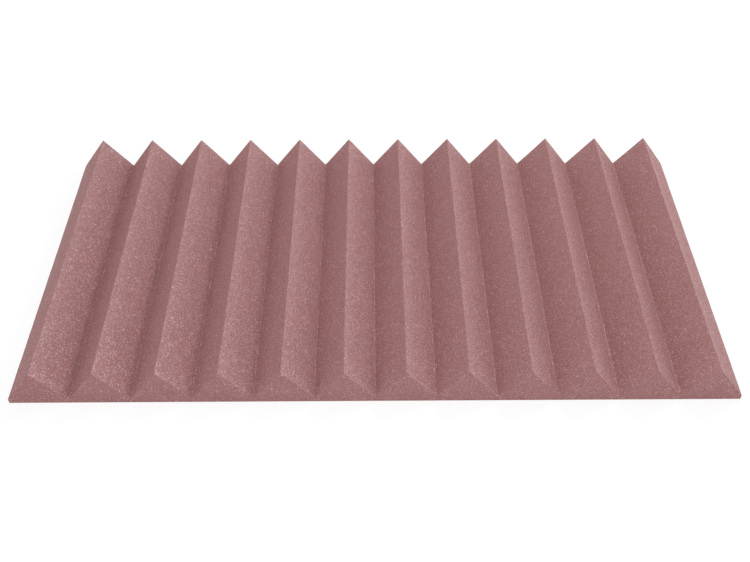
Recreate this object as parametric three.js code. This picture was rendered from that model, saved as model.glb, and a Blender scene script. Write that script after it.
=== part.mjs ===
// Acoustic foam panel: a slab of open-cell foam with its face cut into parallel wedges, and a
// self-adhesive back under a release paper that peels off in two halves.
// Millimetres, +Z up. The panel lies on its back with the ridges along Y and the saw-tooth ends
// facing -Y and +Y. The origin is at the middle of the back, on the surface that it lies on.

import * as THREE from 'three';

// Foam slab
const panelWidth = 1219.2; // across the wedges
const panelDepth = 609.6; // along the wedges
const panelThickness = 76.2; // from the foam's back to the ridges, before they are eased
const baseThickness = 9.525; // solid foam left under the valleys
const wedgeCount = 12;
const ridgeRadius = 0.8; // how far the foam relaxes at a cut edge
const valleyRadius = 1.5; // how tightly the blade turns at the foot of a cut
const arcSteps = 4; // flat steps in each eased ridge or valley

// Self-adhesive back
const filmThickness = 0.2;
const linerThickness = 0.15;
const linerSlit = 0.6; // opening between the two halves of the release paper

const foamMaterial = new THREE.MeshStandardMaterial({ color: 0x9d7272, roughness: 0.97, metalness: 0 });
const filmMaterial = new THREE.MeshStandardMaterial({ color: 0xd9d3c4, roughness: 0.35, metalness: 0 });
const linerMaterial = new THREE.MeshStandardMaterial({ color: 0xe9e5da, roughness: 0.6, metalness: 0 });

// The path of the blade across the slab, as the outline of the finished foam seen from its end.
// It is walked anticlockwise: along the back, up the right edge, then over the wedges to the left.
function wedgeOutline() {
  const pitch = panelWidth / wedgeCount;
  const wedgeHeight = panelThickness - baseThickness;
  const flankAngle = Math.atan2(wedgeHeight, pitch / 2);
  const ridgeCentreHeight = panelThickness - ridgeRadius / Math.cos(flankAngle);
  const valleyCentreHeight = baseThickness + valleyRadius / Math.cos(flankAngle);
  const up = Math.PI / 2;
  const down = -Math.PI / 2;

  const outline = new THREE.Shape();
  outline.moveTo(-panelWidth / 2, 0);
  outline.lineTo(panelWidth / 2, 0);
  outline.lineTo(panelWidth / 2, baseThickness);
  for (let i = wedgeCount - 1; i >= 0; i--) {
    const ridgeX = -panelWidth / 2 + (i + 1 / 2) * pitch;
    const valleyX = ridgeX - pitch / 2;
    outline.absarc(ridgeX, ridgeCentreHeight, ridgeRadius, up - flankAngle, up + flankAngle, false);
    if (i > 0) {
      outline.absarc(valleyX, valleyCentreHeight, valleyRadius, down + flankAngle, down - flankAngle, true);
    }
  }
  outline.lineTo(-panelWidth / 2, baseThickness);
  return outline;
}

// The outline drawn out along the wedges, turned so that it runs along Y, with straight-cut ends.
function foamGeometry() {
  const geometry = new THREE.ExtrudeGeometry(wedgeOutline(), {
    depth: panelDepth,
    curveSegments: arcSteps,
    bevelEnabled: false,
  });
  geometry.rotateX(Math.PI / 2);
  geometry.translate(0, panelDepth / 2, 0);
  return geometry;
}

// A flat sheet of the back, centred on x, with its lower face at the given height.
function backSheet(name, width, thickness, material, x, height) {
  const sheet = new THREE.Mesh(new THREE.BoxGeometry(width, panelDepth, thickness), material);
  sheet.name = name;
  sheet.position.set(x, 0, height + thickness / 2);
  return sheet;
}

const foam = new THREE.Mesh(foamGeometry(), foamMaterial);
foam.name = 'foam_panel';
foam.position.z = linerThickness + filmThickness;

const film = backSheet('adhesive_film', panelWidth, filmThickness, filmMaterial, 0, linerThickness);

const linerWidth = (panelWidth - linerSlit) / 2;
const linerCentre = (linerWidth + linerSlit) / 2;
const linerLeft = backSheet('release_liner_left', linerWidth, linerThickness, linerMaterial, -linerCentre, 0);
const linerRight = backSheet('release_liner_right', linerWidth, linerThickness, linerMaterial, linerCentre, 0);

const panel = new THREE.Group();
panel.name = 'acoustic_foam_panel';
panel.add(foam, film, linerLeft, linerRight);

export default panel;
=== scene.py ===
import math

import bpy
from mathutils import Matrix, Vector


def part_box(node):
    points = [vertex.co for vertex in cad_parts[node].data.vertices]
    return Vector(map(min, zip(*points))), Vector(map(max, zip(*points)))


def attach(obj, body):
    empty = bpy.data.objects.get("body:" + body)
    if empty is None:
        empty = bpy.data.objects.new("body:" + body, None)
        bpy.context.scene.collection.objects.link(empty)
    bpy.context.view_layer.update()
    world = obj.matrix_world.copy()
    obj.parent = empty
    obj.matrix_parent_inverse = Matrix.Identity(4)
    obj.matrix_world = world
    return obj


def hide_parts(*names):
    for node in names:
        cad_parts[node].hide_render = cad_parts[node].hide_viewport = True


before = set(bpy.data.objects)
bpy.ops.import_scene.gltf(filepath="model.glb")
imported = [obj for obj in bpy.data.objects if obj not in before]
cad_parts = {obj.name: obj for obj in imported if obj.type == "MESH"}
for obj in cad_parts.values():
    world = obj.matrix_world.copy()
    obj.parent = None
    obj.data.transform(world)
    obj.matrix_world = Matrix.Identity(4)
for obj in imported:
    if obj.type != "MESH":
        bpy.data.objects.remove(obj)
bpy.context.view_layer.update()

# Sizes are in metres, angles in degrees, colours are linear.


# Building nodes

def addNode(tree, kind, inputs=None, **settings):
    node = tree.nodes.new(kind)
    for name, value in settings.items():
        setattr(node, name, value)
    for name, value in (inputs or {}).items():
        socket = node.inputs[name]
        if isinstance(value, bpy.types.NodeSocket):
            tree.links.new(value, socket)
        else:
            socket.default_value = value
    return node


def addMath(tree, operation, *values):
    return addNode(tree, "ShaderNodeMath", dict(enumerate(values)), operation=operation).outputs[0]


def addVectorMath(tree, operation, *values):
    node = addNode(tree, "ShaderNodeVectorMath", dict(enumerate(values)), operation=operation)
    return node.outputs["Vector"]


def addScaled(tree, vector, scale):
    node = addNode(tree, "ShaderNodeVectorMath", {0: vector, "Scale": scale}, operation="SCALE")
    return node.outputs["Vector"]


def addRange(tree, value, fromLow, fromHigh, toLow=0.0, toHigh=1.0, easing="LINEAR"):
    inputs = {"Value": value, "From Min": fromLow, "From Max": fromHigh,
              "To Min": toLow, "To Max": toHigh}
    return addNode(tree, "ShaderNodeMapRange", inputs, interpolation_type=easing).outputs["Result"]


def addColourMix(tree, share, first, second, blend="MIX"):
    node = addNode(tree, "ShaderNodeMix", data_type="RGBA", blend_type=blend)
    for index, value in ((0, share), (6, first), (7, second)):
        if isinstance(value, bpy.types.NodeSocket):
            tree.links.new(value, node.inputs[index])
        else:
            node.inputs[index].default_value = value
    return node.outputs[2]


def newMaterial(name):
    material = bpy.data.materials.new(name)
    material.use_nodes = True
    tree = material.node_tree
    tree.nodes.clear()
    return material, tree


noiseSpan = (0.3, 0.7)  # nearly all of a noise texture's values lie between these


def addShade(tree, place, size, amount, detail=2.0):
    noise = addNode(tree, "ShaderNodeTexNoise", {"Vector": place, "Scale": 1 / size, "Detail": detail})
    return addRange(tree, noise.outputs["Fac"], *noiseSpan, 1 - amount, 1 + amount)


def addTint(tree, colour, shade):
    grey = addNode(tree, "ShaderNodeCombineColor", {"Red": shade, "Green": shade, "Blue": shade})
    return addColourMix(tree, 1.0, colour, grey.outputs["Color"], blend="MULTIPLY")


def addSurface(tree, colour, roughness, specular, height, normal=None):
    inputs = {"Height": height, "Distance": 1.0, "Strength": 1.0}
    if normal:
        inputs["Normal"] = normal
    bump = addNode(tree, "ShaderNodeBump", inputs)
    inputs = {"Base Color": colour, "Roughness": roughness, "Normal": bump.outputs["Normal"]}
    shader = addNode(tree, "ShaderNodeBsdfPrincipled", inputs)
    shader.inputs["Specular IOR Level"].default_value = specular
    addNode(tree, "ShaderNodeOutputMaterial", {"Surface": shader.outputs["BSDF"]})


# Foam panel: one block whose face is cut into wedges

foamLow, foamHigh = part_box("foam_panel")

foamPanel = {
    "wedges": 12,
    "base": 0.009525,
    "ridgeHeight": 0.0762,
    "ridgeEase": 0.0003,  # how far each ridge stays under its point
    "valleyEase": 0.0011,  # how far each valley floor lies over its point
    "flankSteps": 14,
    "flankEase": 0.95,  # 0 spaces the steps evenly, 1 crowds them at ridges and valleys
    "lengthSteps": 250,
    "endSteps": 10,
    "waver": 0.0004,  # how far the blade wanders, over waverSize
    "waverSize": 0.05,
    "grain": 0.00012,  # how far the cells tear, over grainSize
    "grainSize": 0.006,
    "sharpAngle": 40,  # edges over this stay crisp
    "seed": 3,
}

mergeDistance = 1e-5
tiny = 1e-4  # takes up rounding


def buildFoamTree(sizes):
    tree = bpy.data.node_groups.new("wedgeFoam", "GeometryNodeTree")
    tree.interface.new_socket("Geometry", in_out="INPUT", socket_type="NodeSocketGeometry")
    tree.interface.new_socket("Geometry", in_out="OUTPUT", socket_type="NodeSocketGeometry")
    for name, kind, value in sizes:
        socket = tree.interface.new_socket(name, in_out="INPUT", socket_type=kind)
        if value is not None:
            socket.default_value = value
    given = addNode(tree, "NodeGroupInput").outputs

    # Across the grid one unit is one flank, so whole numbers are valleys and ridges in turn
    place = addNode(tree, "ShaderNodeSeparateXYZ", {0: addNode(tree, "GeometryNodeInputPosition").outputs[0]})
    flanks = addMath(tree, "MULTIPLY", given["Wedges"], 2)
    along = addMath(tree, "ADD", place.outputs["X"], given["Wedges"])
    whole = addMath(tree, "FLOOR", addMath(tree, "ADD", along, tiny))
    part = addMath(tree, "SUBTRACT", along, whole)
    drawn = addRange(tree, part, 0.0, 1.0, easing="SMOOTHSTEP")
    pull = addMath(tree, "MULTIPLY", addMath(tree, "SUBTRACT", drawn, part), given["Flank Ease"])
    along = addMath(tree, "ADD", along, pull)  # columns crowd towards the ridges and valleys
    rise = addMath(tree, "PINGPONG", along, 1.0)
    flankWidth = addMath(tree, "DIVIDE", given["Width"], flanks)
    across = addMath(tree, "MULTIPLY", addMath(tree, "SUBTRACT", along, given["Wedges"]), flankWidth)
    wedgeHeight = addMath(tree, "SUBTRACT", given["Ridge Height"], given["Base"])
    lift = addMath(tree, "MULTIPLY_ADD", rise, wedgeHeight, given["Base"])
    room = addMath(tree, "MINIMUM", along, addMath(tree, "SUBTRACT", flanks, along))
    room = addMath(tree, "MULTIPLY", room, wedgeHeight)  # so that nothing is filled at the outer sides
    filled = addMath(tree, "MINIMUM", room, given["Valley Ease"])
    lift = addMath(tree, "MAXIMUM", lift, addMath(tree, "ADD", given["Base"], filled))
    eased = addMath(tree, "SUBTRACT", given["Ridge Height"], given["Ridge Ease"])
    top = addMath(tree, "MINIMUM", lift, eased)
    frontY = addMath(tree, "MULTIPLY", given["Depth"], -0.5)
    sideX = addMath(tree, "MULTIPLY", given["Width"], -0.5)
    columns = addMath(tree, "MULTIPLY_ADD", flanks, given["Flank Steps"], 1)
    rows = addMath(tree, "ADD", given["Length Steps"], 1)
    layers = addMath(tree, "ADD", given["End Steps"], 1)

    def isAbove(value, limit):
        return addNode(tree, "FunctionNodeCompare", {0: value, 1: limit}, data_type="FLOAT",
                       operation="GREATER_THAN").outputs[0]

    def sheet(sizeX, sizeY, countX, countY, x, y, z):
        inputs = {"Size X": sizeX, "Size Y": sizeY, "Vertices X": countX, "Vertices Y": countY}
        grid = addNode(tree, "GeometryNodeMeshGrid", inputs).outputs["Mesh"]
        spot = addNode(tree, "ShaderNodeCombineXYZ", {"X": x, "Y": y, "Z": z}).outputs[0]
        return addNode(tree, "GeometryNodeSetPosition", {"Geometry": grid, "Position": spot}).outputs[0]

    def opposite(mesh, x=0.0, y=0.0):
        shift = addNode(tree, "ShaderNodeCombineXYZ", {"X": x, "Y": y}).outputs[0]
        moved = addNode(tree, "GeometryNodeTransform", {"Geometry": mesh, "Translation": shift}).outputs[0]
        return addNode(tree, "GeometryNodeFlipFaces", {"Mesh": moved}).outputs[0]

    face = sheet(flanks, given["Depth"], columns, rows, across, place.outputs["Y"], top)
    endShare = addMath(tree, "ADD", place.outputs["Y"], 0.5)
    end = sheet(flanks, 1.0, columns, layers, across, frontY, addMath(tree, "MULTIPLY", endShare, top))
    sideShare = addMath(tree, "ADD", place.outputs["X"], 0.5)
    sideHeight = addMath(tree, "MULTIPLY", sideShare, given["Base"])
    side = sheet(1.0, given["Depth"], layers, rows, sideX, place.outputs["Y"], sideHeight)

    joined = addNode(tree, "GeometryNodeJoinGeometry")
    for mesh in (face, end, opposite(end, y=given["Depth"]), side, opposite(side, x=given["Width"])):
        tree.links.new(mesh, joined.inputs[0])
    inputs = {"Geometry": joined.outputs[0], "Distance": mergeDistance}
    shell = addNode(tree, "GeometryNodeMergeByDistance", inputs).outputs[0]

    # The back closes the open rim
    neighbours = addNode(tree, "GeometryNodeInputMeshEdgeNeighbors").outputs["Face Count"]
    rimEdge = addNode(tree, "FunctionNodeCompare", {2: neighbours, 3: 1}, data_type="INT",
                      operation="EQUAL").outputs[0]
    inputs = {"Mesh": shell, "Selection": rimEdge}
    rim = addNode(tree, "GeometryNodeMeshToCurve", inputs).outputs[0]
    back = addNode(tree, "GeometryNodeFillCurve", {"Curve": rim}, mode="NGONS").outputs[0]
    back = addNode(tree, "GeometryNodeFlipFaces", {"Mesh": back}).outputs[0]
    block = addNode(tree, "GeometryNodeJoinGeometry")
    tree.links.new(shell, block.inputs[0])
    tree.links.new(back, block.inputs[0])
    inputs = {"Geometry": block.outputs[0], "Distance": mergeDistance}
    block = addNode(tree, "GeometryNodeMergeByDistance", inputs).outputs[0]

    # The cut wanders a little, and the blade tears at the cells
    spot = addNode(tree, "GeometryNodeInputPosition").outputs[0]
    normal = addNode(tree, "GeometryNodeInputNormal").outputs[0]

    def wander(amount, size, detail):
        scale = addMath(tree, "DIVIDE", 1.0, size)
        inputs = {"Vector": spot, "W": given["Seed"], "Scale": scale, "Detail": detail}
        noise = addNode(tree, "ShaderNodeTexNoise", inputs, noise_dimensions="4D").outputs["Fac"]
        return addMath(tree, "MULTIPLY", addMath(tree, "SUBTRACT", noise, 0.5), amount)

    slow = wander(given["Waver"], given["Waver Size"], 2.0)
    fine = wander(given["Grain"], given["Grain Size"], 1.0)
    push = addMath(tree, "MULTIPLY", addMath(tree, "ADD", slow, fine), 2.0)
    height = addNode(tree, "ShaderNodeSeparateXYZ", {0: spot}).outputs["Z"]
    free = isAbove(height, tiny)  # the back stays flat
    inputs = {"Geometry": block, "Selection": free, "Offset": addScaled(tree, normal, push)}
    block = addNode(tree, "GeometryNodeSetPosition", inputs).outputs[0]
    raised = addNode(tree, "ShaderNodeCombineXYZ", {"Z": given["Back Height"]}).outputs[0]
    inputs = {"Geometry": block, "Translation": raised}
    block = addNode(tree, "GeometryNodeTransform", inputs).outputs[0]

    inputs = {"Geometry": block}
    block = addNode(tree, "GeometryNodeSetShadeSmooth", inputs, domain="FACE").outputs[0]
    angle = addNode(tree, "GeometryNodeInputMeshEdgeAngle").outputs["Unsigned Angle"]
    crisp = isAbove(angle, given["Sharp Angle"])
    inputs = {"Geometry": block, "Selection": crisp, "Shade Smooth": False}
    block = addNode(tree, "GeometryNodeSetShadeSmooth", inputs, domain="EDGE").outputs[0]
    block = addNode(tree, "GeometryNodeRealizeInstances", {"Geometry": block}).outputs[0]
    inputs = {"Geometry": block, "Material": given["Material"]}
    block = addNode(tree, "GeometryNodeSetMaterial", inputs).outputs[0]
    addNode(tree, "NodeGroupOutput", {"Geometry": block})
    return tree


def setInput(modifier, name, value):
    for item in modifier.node_group.interface.items_tree:
        if item.item_type == "SOCKET" and item.in_out == "INPUT" and item.name == name:
            modifier[item.identifier] = value
            return
    raise KeyError(name)


def makeFoamPanel(panel, material):
    number, count = "NodeSocketFloat", "NodeSocketInt"
    sizes = [
        ("Width", number, foamHigh[0] - foamLow[0]),
        ("Depth", number, foamHigh[1] - foamLow[1]),
        ("Back Height", number, foamLow[2]),
        ("Ridge Height", number, panel["ridgeHeight"]),
        ("Ridge Ease", number, panel["ridgeEase"]),
        ("Valley Ease", number, panel["valleyEase"]),
        ("Base", number, panel["base"]),
        ("Wedges", count, panel["wedges"]),
        ("Flank Steps", count, panel["flankSteps"]),
        ("Flank Ease", number, panel["flankEase"]),
        ("Length Steps", count, panel["lengthSteps"]),
        ("End Steps", count, panel["endSteps"]),
        ("Waver", number, panel["waver"]),
        ("Waver Size", number, panel["waverSize"]),
        ("Grain", number, panel["grain"]),
        ("Grain Size", number, panel["grainSize"]),
        ("Sharp Angle", number, math.radians(panel["sharpAngle"])),
        ("Seed", count, panel["seed"]),
        ("Material", "NodeSocketMaterial", None),
    ]
    holder = bpy.data.objects.new("foamHolder", bpy.data.meshes.new("foamHolder"))
    bpy.context.collection.objects.link(holder)
    modifier = holder.modifiers.new("wedgeFoam", "NODES")
    modifier.node_group = buildFoamTree(sizes)
    for name, _, value in sizes:
        setInput(modifier, name, material if name == "Material" else value)
    depsgraph = bpy.context.evaluated_depsgraph_get()
    mesh = bpy.data.meshes.new_from_object(holder.evaluated_get(depsgraph), depsgraph=depsgraph)
    bpy.data.objects.remove(holder)
    mesh.name = "foamPanel"
    mesh.materials.clear()
    mesh.materials.append(material)  # one slot, where the tree leaves an empty one first
    mesh.polygons.foreach_set("material_index", [0] * len(mesh.polygons))
    foam = bpy.data.objects.new("foamPanel", mesh)
    bpy.context.collection.objects.link(foam)
    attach(foam, "root")
    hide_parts("foam_panel")
    return foam


# Foam finish: cut open-cell foam, a net of fine struts round small pits

foamFinish = {
    "strutColour": (0.567, 0.2855, 0.2855),
    # the pit colour is darker as painted shade in the hollow of each cell
    "pitShadeColour": (0.362, 0.1655, 0.1655),
    "skinColour": (0.97, 0.76, 0.76),
    "cellSize": 0.0013,
    "cellSpread": 0.30,  # how pale the palest plain cells are
    "cellSkew": 4.0,  # higher makes fewer of them pale
    "cellLean": 0.15,
    "pitEdges": (0.02, 0.24),  # from strut to pit, as shares of a cell
    "pitDepth": 0.00030,
    "skinShare": 0.098,  # how many of the cells keep a pale skin
    "skinEdge": 0.02,
    "patchSize": 0.012,
    "patchAmount": 0.25,
    # Painted glints: the share of pale skins follows how the key lamp falls on each face
    "keySideGlints": 0.3,  # more skins on the right-hand flanks than on the left
    "ridgeGlints": 0.4,  # and how much more so at the ridges
    "endGlints": 0.5,  # the ends keep this share of them
    # Painted highlight on the right-hand flanks, near the ridges and near the ends
    "crestWidth": 0.026,  # down from the ridges
    "crestHighlight": 0.055,
    "brinkWidth": 0.005,  # in from the ends
    "brinkHighlight": 0.19,
    "brinkFoot": 0.25,  # it fades out at this share of the height
    # Painted light on the valley floors
    "seamLevel": (0.75, 0.95),  # how level a face must be to count as valley floor
    "seamLight": 0.04,
    # Painted shade: the hue is shifted deep in the valleys, on the left-hand flanks away from the key lamp
    # and on the ends, for how light falls there
    "valleyShadeTint": (0.983, 1.0, 1.0),  # each tint multiplies the colour
    "leftShadeTint": (1.025, 0.990, 0.990),
    "endShadeTint": (1.030, 0.965, 0.965),
    "mottleSize": 0.05,
    "mottleAmount": 0.015,
    "roughness": 0.80,
    "skinRoughness": 0.50,
    "specular": 0.12,
}


def makeFoamMaterial(finish, panel):
    material, tree = newMaterial("cutFoam")
    place = addNode(tree, "ShaderNodeTexCoord").outputs["Object"]
    scale = 1 / finish["cellSize"]
    cells = addNode(tree, "ShaderNodeTexVoronoi", {"Vector": place, "Scale": scale}, feature="F1")
    walls = addNode(tree, "ShaderNodeTexVoronoi", {"Vector": place, "Scale": scale},
                    feature="DISTANCE_TO_EDGE")
    pit = addRange(tree, walls.outputs["Distance"], *finish["pitEdges"], easing="SMOOTHSTEP")
    chance = addNode(tree, "ShaderNodeSeparateColor", {"Color": cells.outputs["Color"]}).outputs

    # A slow change of shade over the block, and a paleness for each cell: most plain, a few pale
    mottle = addShade(tree, place, finish["mottleSize"], finish["mottleAmount"])
    skewed = addMath(tree, "POWER", chance["Green"], finish["cellSkew"])
    paleness = addMath(tree, "MULTIPLY", skewed, finish["cellSpread"])

    # Painted highlight: the right-hand flanks, which face the key lamp, are painted paler towards their
    # ridges and where they meet the ends
    spot = addNode(tree, "ShaderNodeSeparateXYZ", {0: place}).outputs
    straight = addNode(tree, "ShaderNodeNewGeometry").outputs["Normal"]
    facing = addNode(tree, "ShaderNodeSeparateXYZ", {0: straight}).outputs
    crest = addRange(tree, spot["Z"], foamHigh[2] - finish["crestWidth"], foamHigh[2],
                     toHigh=finish["crestHighlight"], easing="SMOOTHSTEP")
    outwards = addMath(tree, "ABSOLUTE", spot["Y"])
    brink = addRange(tree, outwards, foamHigh[1] - finish["brinkWidth"], foamHigh[1],
                     toHigh=finish["brinkHighlight"], easing="SMOOTHSTEP")
    highUp = addRange(tree, spot["Z"], foamHigh[2] * finish["brinkFoot"], foamHigh[2])
    brink = addMath(tree, "MULTIPLY", brink, highUp)
    # The painted highlight falls only on faces turned towards the key lamp
    rim = addMath(tree, "MAXIMUM", crest, brink)
    paleness = addMath(tree, "MULTIPLY_ADD", rim, addMath(tree, "MAXIMUM", facing["X"], 0.0), paleness)

    # Painted light: the narrow floor of each valley is painted paler, as if lit from above
    valley = foamLow[2] + panel["base"]
    seam = addMath(tree, "LESS_THAN", spot["Z"], valley + 2 * panel["valleyEase"])
    seam = addMath(tree, "MULTIPLY", seam, addRange(tree, facing["Z"], *finish["seamLevel"]))
    paleness = addMath(tree, "MULTIPLY_ADD", seam, finish["seamLight"], paleness)

    # Skinned cells come in loose patches; painted glints: there are more of them on the right-hand flanks,
    # which face the key lamp, most near the ridges, and fewer on the ends
    crowd = addShade(tree, place, finish["patchSize"], finish["patchAmount"])
    low, high = finish["keySideGlints"] - finish["ridgeGlints"], finish["keySideGlints"] + finish["ridgeGlints"]
    glintRise = addRange(tree, spot["Z"], 0.0, foamHigh[2], low, high)
    glintCrowd = addMath(tree, "MULTIPLY_ADD", facing["X"], glintRise, 1.0)
    endness = addMath(tree, "ABSOLUTE", facing["Y"])
    glintCrowd = addMath(tree, "MULTIPLY_ADD", endness, finish["endGlints"] - 1, glintCrowd)
    limit = addMath(tree, "MULTIPLY", addMath(tree, "MULTIPLY", crowd, glintCrowd), finish["skinShare"])
    isSkin = addRange(tree, addMath(tree, "SUBTRACT", limit, chance["Red"]), 0.0, finish["skinEdge"])
    skin = addMath(tree, "MULTIPLY", isSkin, pit)

    # Painted shade: the pits take the darker pit colour
    body = addColourMix(tree, pit, (*finish["strutColour"], 1), (*finish["pitShadeColour"], 1))
    # Painted shade: the body's hue is shifted deep in the valleys, on the left-hand flanks and on the ends
    depth = addRange(tree, spot["Z"], foamHigh[2], valley)
    keyShadedSide = addMath(tree, "MAXIMUM", addMath(tree, "MULTIPLY", facing["X"], -1.0), 0.0)
    for share, tint in ((depth, "valleyShadeTint"), (keyShadedSide, "leftShadeTint"), (endness, "endShadeTint")):
        body = addColourMix(tree, share, body, (*finish[tint], 1), blend="MULTIPLY")
    paleness = addMath(tree, "MAXIMUM", paleness, skin)
    body = addColourMix(tree, paleness, addTint(tree, body, mottle), (*finish["skinColour"], 1))

    # Each cut cell leans its own way, and its pit is sunk
    lean = addVectorMath(tree, "SUBTRACT", cells.outputs["Color"], (0.5, 0.5, 0.5))
    lean = addScaled(tree, lean, 2 * finish["cellLean"])
    leaning = addVectorMath(tree, "NORMALIZE", addVectorMath(tree, "ADD", straight, lean))
    height = addMath(tree, "MULTIPLY", addMath(tree, "SUBTRACT", skin, pit), finish["pitDepth"])
    roughness = addRange(tree, skin, 0, 1, finish["roughness"], finish["skinRoughness"])
    addSurface(tree, body, roughness, finish["specular"], height, leaning)
    return material


foamMaterial = makeFoamMaterial(foamFinish, foamPanel)
print("foam finish made")

foam = makeFoamPanel(foamPanel, foamMaterial)
print("foam panel made,", len(foam.data.vertices), "points,", len(foam.data.polygons), "faces")


# Adhesive film: a thin coat of glue, a little cloudy and uneven

adhesiveFinish = {
    "colour": (0.78, 0.74, 0.62),
    "cloudSize": 0.03,
    "cloudAmount": 0.06,
    "rippleSize": 0.004,
    "rippleDepth": 0.00012,
    "roughness": 0.28,
    "specular": 0.5,
}


def makeAdhesiveMaterial(finish):
    material, tree = newMaterial("tackyFilm")
    place = addNode(tree, "ShaderNodeTexCoord").outputs["Object"]
    cloud = addShade(tree, place, finish["cloudSize"], finish["cloudAmount"], detail=3.0)
    colour = addTint(tree, (*finish["colour"], 1), cloud)
    ripple = addShade(tree, place, finish["rippleSize"], 1.0, detail=1.0)
    height = addMath(tree, "MULTIPLY", ripple, finish["rippleDepth"])
    addSurface(tree, colour, finish["roughness"], finish["specular"], height)
    return material


# Release liner: plain coated paper with faint fibres, and slack waves from the roll

paperFinish = {
    "colour": (0.80, 0.77, 0.69),
    "fibreSize": 0.0016,
    "fibreStretch": 3.0,
    "fibreAmount": 0.04,
    "cloudSize": 0.06,
    "cloudAmount": 0.03,
    "waveSize": 0.12,
    "waveDepth": 0.0008,
    "roughness": 0.45,
    "specular": 0.4,
}


def makePaperMaterial(finish):
    material, tree = newMaterial("releasePaper")
    place = addNode(tree, "ShaderNodeTexCoord").outputs["Object"]
    stretch = (1.0, 1 / finish["fibreStretch"], 1.0)  # the fibres lie along the wedges
    drawn = addVectorMath(tree, "MULTIPLY", place, stretch)
    fibres = addShade(tree, drawn, finish["fibreSize"], finish["fibreAmount"], detail=3.0)
    clouds = addShade(tree, place, finish["cloudSize"], finish["cloudAmount"])
    colour = addTint(tree, (*finish["colour"], 1), addMath(tree, "MULTIPLY", fibres, clouds))
    waves = addShade(tree, place, finish["waveSize"], 1.0, detail=1.0)
    height = addMath(tree, "MULTIPLY", waves, finish["waveDepth"])
    addSurface(tree, colour, finish["roughness"], finish["specular"], height)
    return material


def dressNode(name, material):
    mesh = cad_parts[name].data
    mesh.materials.clear()
    mesh.materials.append(material)


dressNode("adhesive_film", makeAdhesiveMaterial(adhesiveFinish))
paper = makePaperMaterial(paperFinish)
for side in ("left", "right"):
    dressNode("release_liner_" + side, paper)
print("film and liners dressed")


# Studio: a pale floor under a white dome, with soft lamps high on the right and in front

studio = {
    "floorHalf": 15.0,
    "floorInset": 0.0005,  # how far the floor reaches under the panel
    "floorColour": (0.8, 0.8, 0.8),
    "floorWhite": 0.75,  # the share of plain white in the floor that the camera sees
    "floorGlow": 1.12,
    "fadeStart": 0.9,
    "fadeEnd": 3.0,
    "domeStrength": 0.60,
    "domeRight": 0.16,
    "domeLeft": 0.10,
    "keyPlace": (1.46, 1.0, 2.01),
    "keySize": 0.5,
    "keyWatts": 14.8,
    "frontPlace": (0.0, -1.7, 2.4),
    "frontSize": 1.0,
    "frontWatts": 14.0,
}


def seenDirectly(tree):
    path = addNode(tree, "ShaderNodeLightPath").outputs
    mirrored = addMath(tree, "MAXIMUM", path["Is Glossy Ray"], path["Is Transmission Ray"])
    return addMath(tree, "MAXIMUM", path["Is Camera Ray"], mirrored)


def makeFloor(setup):
    # It is open under the panel and clear from below, so a view from there shows the liners lit
    half, inset = setup["floorHalf"], setup["floorInset"]
    holeX, holeY = foamHigh[0] - inset, foamHigh[1] - inset
    corners = ((-1, -1), (1, -1), (1, 1), (-1, 1))
    points = [(x * half, y * half, 0) for x, y in corners]
    points += [(x * holeX, y * holeY, 0) for x, y in corners]
    mesh = bpy.data.meshes.new("floor")
    mesh.from_pydata(points, [], [(k, (k + 1) % 4, (k + 1) % 4 + 4, k + 4) for k in range(4)])
    floor = bpy.data.objects.new("floor", mesh)
    bpy.context.collection.objects.link(floor)
    material, tree = newMaterial("paleFloor")
    place = addNode(tree, "ShaderNodeTexCoord").outputs["Object"]
    away = addNode(tree, "ShaderNodeVectorMath", {0: place}, operation="LENGTH").outputs["Value"]
    white = addRange(tree, away, setup["fadeStart"], setup["fadeEnd"], setup["floorWhite"],
                     easing="SMOOTHSTEP")
    share = addMath(tree, "MULTIPLY", seenDirectly(tree), white)
    matt = addNode(tree, "ShaderNodeBsdfDiffuse", {"Color": (*setup["floorColour"], 1)})
    glow = addNode(tree, "ShaderNodeEmission", {"Strength": setup["floorGlow"]})
    both = addNode(tree, "ShaderNodeMixShader", {0: share, 1: matt.outputs[0], 2: glow.outputs[0]})
    below = addNode(tree, "ShaderNodeNewGeometry").outputs["Backfacing"]
    clear = addNode(tree, "ShaderNodeBsdfTransparent")
    either = addNode(tree, "ShaderNodeMixShader", {0: below, 1: both.outputs[0], 2: clear.outputs[0]})
    addNode(tree, "ShaderNodeOutputMaterial", {"Surface": either.outputs[0]})
    mesh.materials.append(material)


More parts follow.
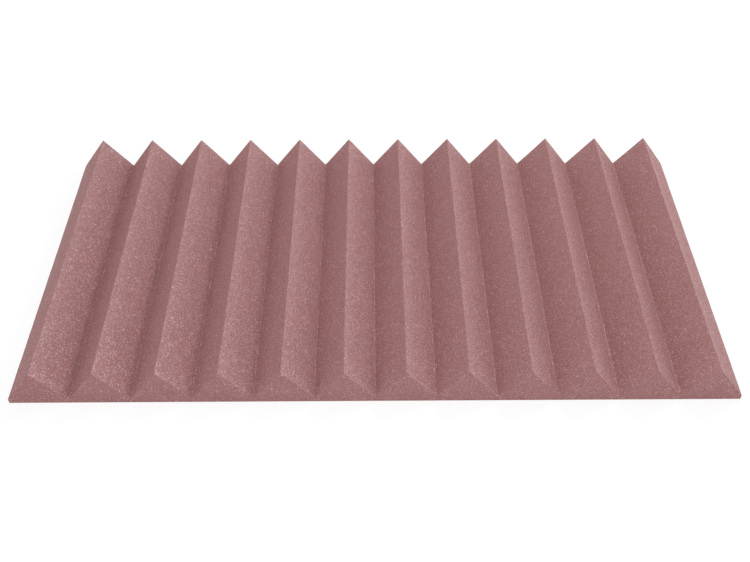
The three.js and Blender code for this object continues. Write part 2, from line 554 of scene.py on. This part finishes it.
def makeDome(setup):
    world = bpy.data.worlds.new("dome")
    world.use_nodes = True
    tree = world.node_tree
    tree.nodes.clear()
    towards = addNode(tree, "ShaderNodeTexCoord").outputs["Generated"]
    towards = addNode(tree, "ShaderNodeSeparateXYZ", {0: towards}).outputs
    right = addMath(tree, "MAXIMUM", towards["X"], 0.0)
    left = addMath(tree, "MAXIMUM", addMath(tree, "MULTIPLY", towards["X"], -1.0), 0.0)
    light = addMath(tree, "MULTIPLY_ADD", right, setup["domeRight"], setup["domeStrength"])
    light = addMath(tree, "MULTIPLY_ADD", left, setup["domeLeft"], light)
    strength = addNode(tree, "ShaderNodeMix", {0: seenDirectly(tree), 2: light, 3: 1.0}).outputs[0]
    glow = addNode(tree, "ShaderNodeBackground", {"Color": (1, 1, 1, 1), "Strength": strength})
    addNode(tree, "ShaderNodeOutputWorld", {"Surface": glow.outputs[0]})
    bpy.context.scene.world = world


def makeLamp(name, place, size, watts):
    light = bpy.data.lights.new(name, "AREA")
    light.shape = "SQUARE"
    light.size = size
    light.energy = watts
    lamp = bpy.data.objects.new(name, light)
    bpy.context.collection.objects.link(lamp)
    lamp.location = place
    # A lamp shines down its own -Z, here at the panel
    lamp.rotation_euler = lamp.location.to_track_quat("Z", "Y").to_euler()


makeFloor(studio)
makeDome(studio)
for lamp in ("key", "front"):
    makeLamp(lamp + "Lamp", studio[lamp + "Place"], studio[lamp + "Size"], studio[lamp + "Watts"])
bpy.context.scene.view_settings.view_transform = "Standard"
print("studio made")


# Camera: where the photograph was taken from

viewpoint = {
    "place": (-0.0042, -1.2106, 1.2387),
    "turn": (43.671, 0.074, -0.338),
    "lens": 43.765,
    "sensor": 36.0,
}


def makeCamera(view):
    data = bpy.data.cameras.new("camera")
    data.lens = view["lens"]
    data.sensor_width = view["sensor"]
    camera = bpy.data.objects.new("camera", data)
    bpy.context.collection.objects.link(camera)
    camera.location = view["place"]
    camera.rotation_euler = [math.radians(angle) for angle in view["turn"]]
    bpy.context.scene.camera = camera


makeCamera(viewpoint)
